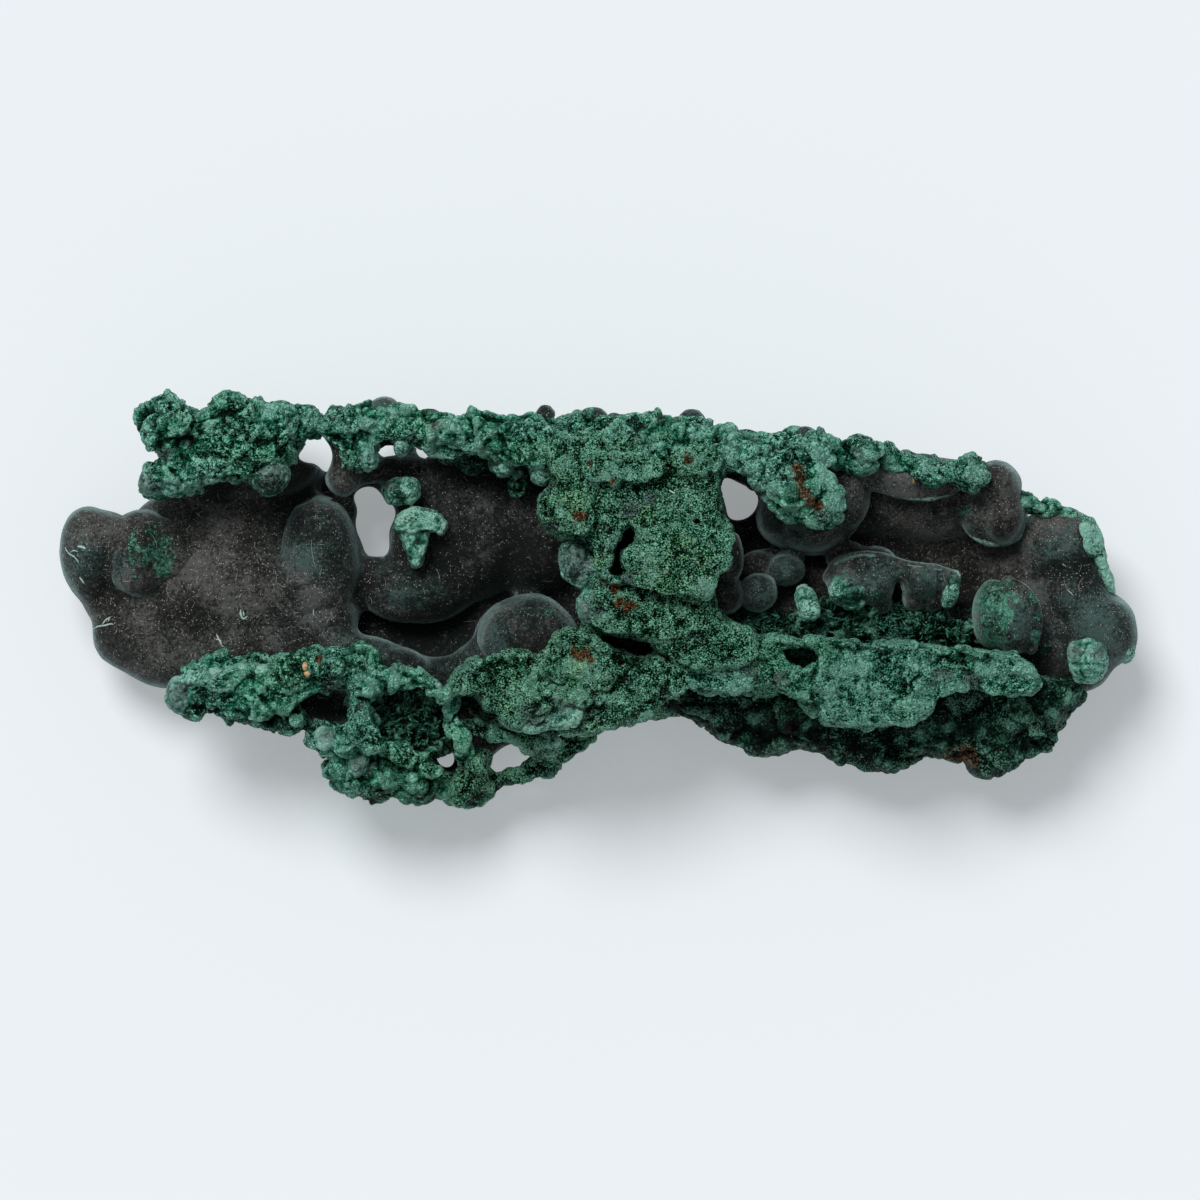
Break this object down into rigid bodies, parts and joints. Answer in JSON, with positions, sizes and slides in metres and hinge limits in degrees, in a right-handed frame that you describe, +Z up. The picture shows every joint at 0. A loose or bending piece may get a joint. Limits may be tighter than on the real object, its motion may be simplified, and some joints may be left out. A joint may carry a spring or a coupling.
{
  "type": "malachite specimen",
  "caption": "Long vuggy malachite specimen: smooth black-green botryoidal walls between two rims of bright green crust, lying on a flat cut back.",
  "frame": {"origin": "on the flat cut back, under the crust core that ties the two rims together", "axes": "+X along the specimen's length, +Y across it towards the thicker upper rim, +Z up out of the open hollows"},
  "size_m": [0.2161, 0.0842, 0.047],
  "materials": {
    "malachite": "matt dark green-black velvet lobes under a granular bright green crust"
  },
  "bodies": {
    "root": {"malachite": "malachite"}
  },
  "joints": []
}
